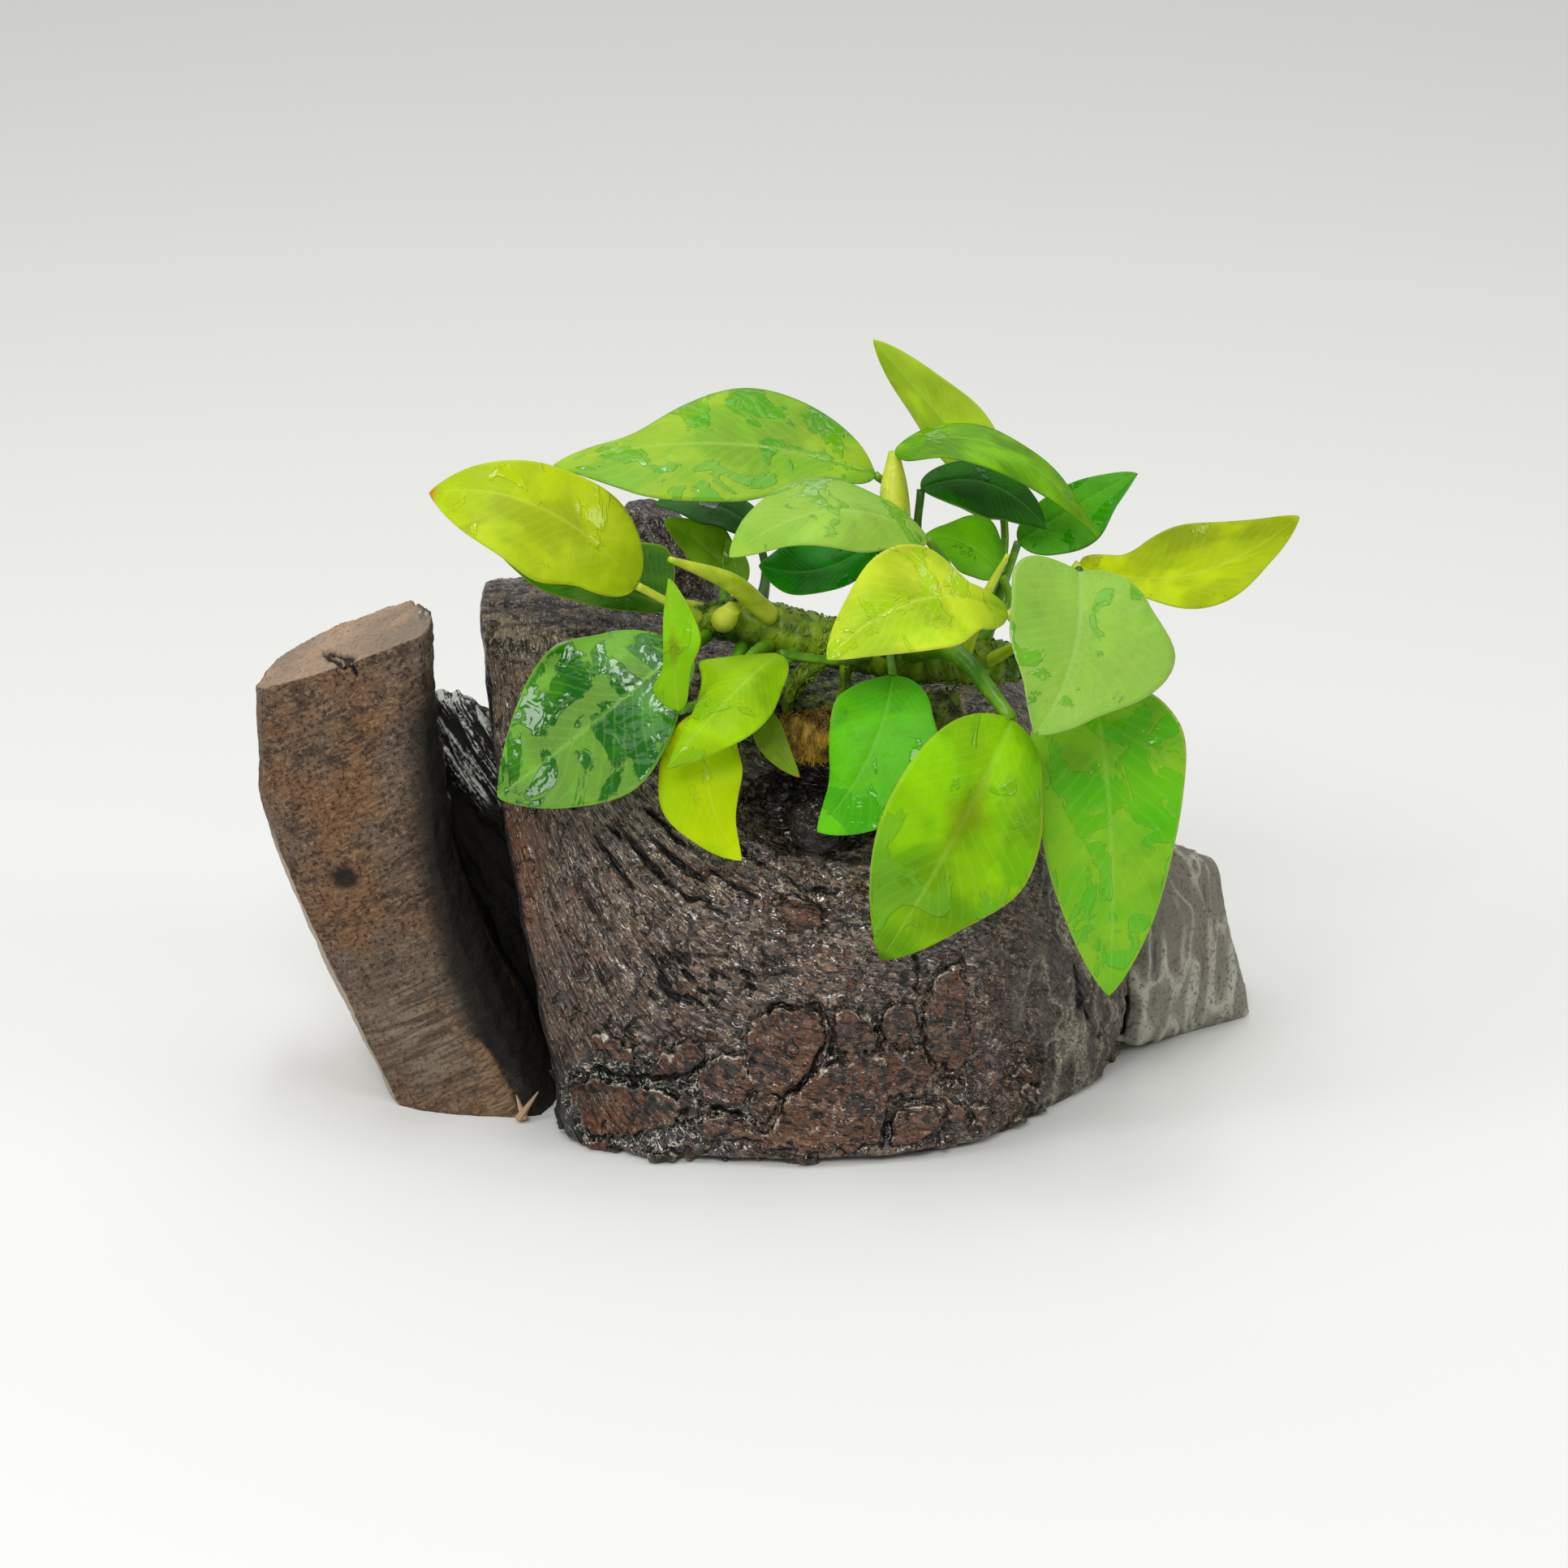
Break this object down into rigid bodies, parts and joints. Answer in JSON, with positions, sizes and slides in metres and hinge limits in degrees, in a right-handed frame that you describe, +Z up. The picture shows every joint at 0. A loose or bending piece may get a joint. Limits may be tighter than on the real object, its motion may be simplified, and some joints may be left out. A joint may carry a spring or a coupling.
{
  "type": "anubias on driftwood",
  "caption": "Clump of small-leaved anubias with glossy oval leaves on a creeping stem, rooted on a forked piece of dark driftwood with a sawn flat foot.",
  "frame": {"origin": "middle of the whole's box in X and Y, on the floor that the sawn foot rests on", "axes": "+X along the wood from the sawn left limb to the tail, +Y from the front to the back, +Z up"},
  "size_m": [0.187, 0.0956, 0.1312],
  "materials": {
    "wet_wood": "wet, near black, with a sheen",
    "dry_wood": "dry, fine-fibred, matt",
    "leaf_green": "waxy, half glossy",
    "leaf_dark": "waxy, half glossy",
    "leaf_yellow": "waxy, half glossy",
    "stalk_green": "smooth, half glossy",
    "root_green": "mossy, rough",
    "root_mat": "fibrous, matt"
  },
  "bodies": {
    "root": {"driftwood_back_limb": "wet_wood", "driftwood_block": "wet_wood", "driftwood_left_limb": "dry_wood", "driftwood_tail": "dry_wood", "leaf_arched": "leaf_green", "leaf_back_left_bright": "leaf_yellow", "leaf_back_left_dark": "leaf_dark", "leaf_back_left_small": "leaf_green", "leaf_back_round": "leaf_green", "leaf_behind_arched": "leaf_green", "leaf_below_far_left": "leaf_dark", "leaf_curled": "leaf_green", "leaf_far_left": "leaf_yellow", "leaf_far_right": "leaf_yellow", "leaf_folded_upright": "leaf_green", "leaf_golden": "leaf_yellow", "leaf_hanging_centre": "leaf_green", "leaf_hanging_right": "leaf_green", "leaf_hanging_small": "leaf_green", "leaf_left_dark": "leaf_dark", "leaf_middle": "leaf_green", "leaf_pale_hanging": "leaf_yellow", "leaf_right_round": "leaf_green", "leaf_shaded": "leaf_dark", "leaf_small_pointed": "leaf_yellow", "leaf_spear": "leaf_yellow", "leaf_stub": "leaf_yellow", "leaf_top": "leaf_green", "leaf_under_middle": "leaf_dark", "leaf_upright": "leaf_dark", "rhizome": "root_green", "root_curl": "root_green", "root_loop": "root_green", "root_mat": "root_mat", "stalk_arched": "stalk_green", "stalk_back_left_bright": "stalk_green", "stalk_back_left_dark": "stalk_green", "stalk_back_left_small": "stalk_green", "stalk_back_round": "stalk_green", "stalk_behind_arched": "stalk_green", "stalk_below_far_left": "stalk_green", "stalk_curled": "stalk_green", "stalk_far_left": "stalk_green", "stalk_far_right": "stalk_green", "stalk_folded_upright": "stalk_green", "stalk_golden": "stalk_green", "stalk_hanging_centre": "stalk_green", "stalk_hanging_right": "stalk_green", "stalk_hanging_small": "stalk_green", "stalk_left_dark": "stalk_green", "stalk_middle": "stalk_green", "stalk_pale_hanging": "stalk_green", "stalk_right_round": "stalk_green", "stalk_shaded": "stalk_green", "stalk_small_pointed": "stalk_green", "stalk_top": "stalk_green", "stalk_under_middle": "stalk_green", "stalk_upright": "stalk_green", "thin_spear": "leaf_yellow"}
  },
  "joints": []
}
